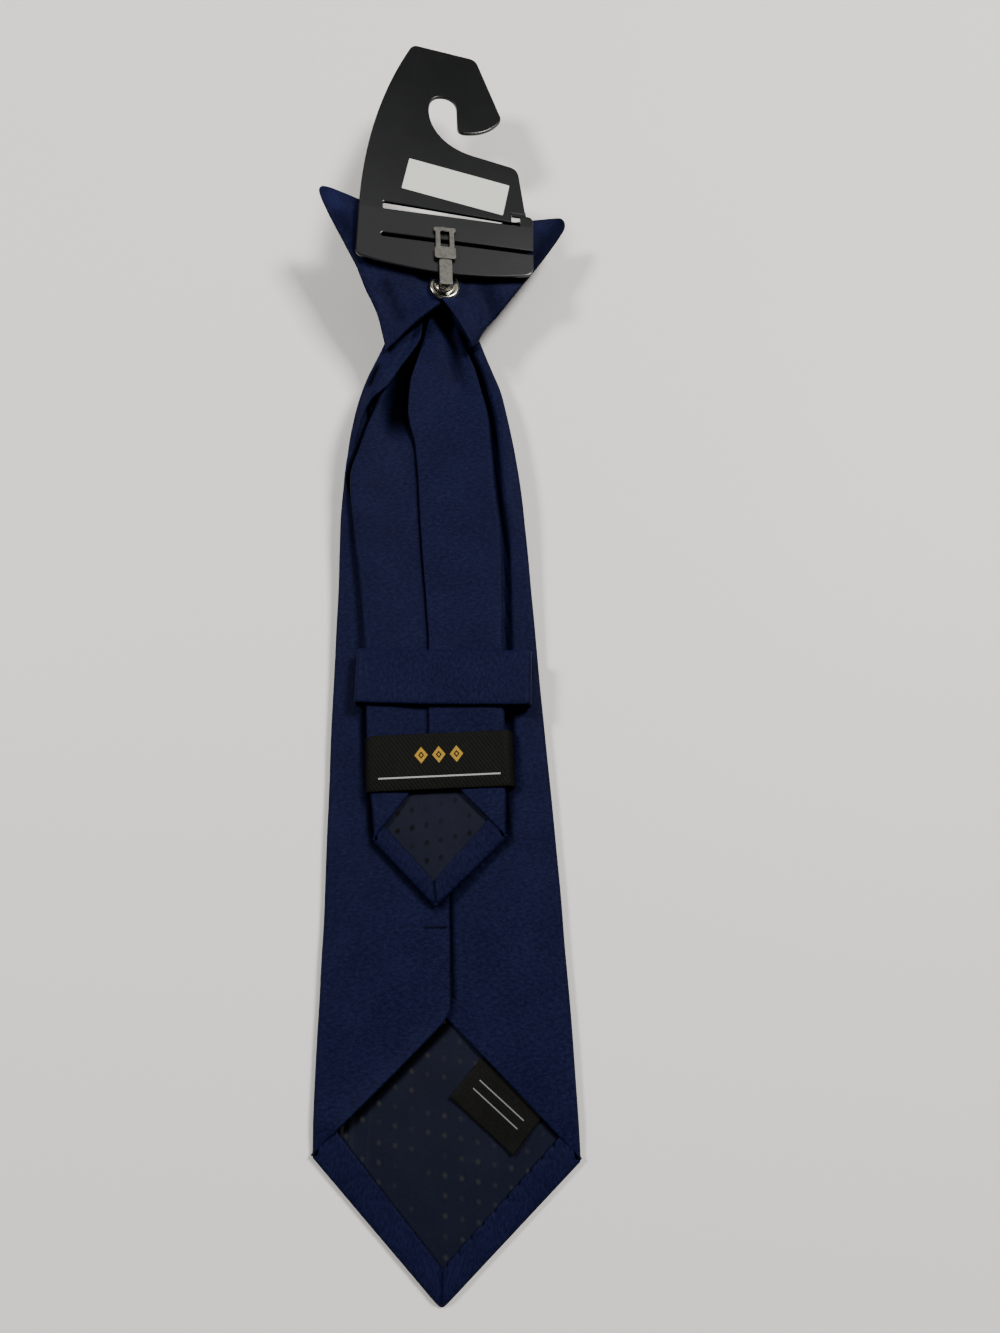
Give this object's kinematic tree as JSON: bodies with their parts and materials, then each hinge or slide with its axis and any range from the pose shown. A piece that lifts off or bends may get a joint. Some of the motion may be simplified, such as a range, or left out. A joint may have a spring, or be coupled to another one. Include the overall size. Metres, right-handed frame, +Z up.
{
  "type": "clip-on necktie on a plain plastic display hanger",
  "caption": "Boys' navy satin clip-on necktie with a ready-made knot and steel collar clip, lying back up and clipped to a flat plastic display hanger.",
  "frame": {"origin": "on the table under the wide blade, on the tie's middle line, level with the blade's two corners", "axes": "+Y from the tie's tip to the hanger's hook, +Z up out of the tie's back, +X to the right seen from above"},
  "size_m": [0.0726, 0.3486, 0.0258],
  "materials": {
    "satin": "navy satin with a fine twill",
    "lining": "dark lining with small woven dots",
    "woven_label": "black woven label",
    "clip_steel": "nickel plated",
    "hanger_plastic": "dark grey, fine grain",
    "sticker": "blank white sticker"
  },
  "bodies": {
    "root": {"knot_wrap": "satin", "wing_left": "satin", "wing_right": "satin", "front_blade": "satin", "tail": "satin", "keeper_loop": "satin", "bar_tack": "satin", "front_blade_lining": "lining", "tail_lining": "lining", "neck_label": "woven_label", "care_label": "woven_label", "clip_rivet": "clip_steel", "clip_tongue": "clip_steel", "clip_plate": "clip_steel", "hanger": "hanger_plastic", "hanger_sticker": "sticker"}
  },
  "joints": []
}
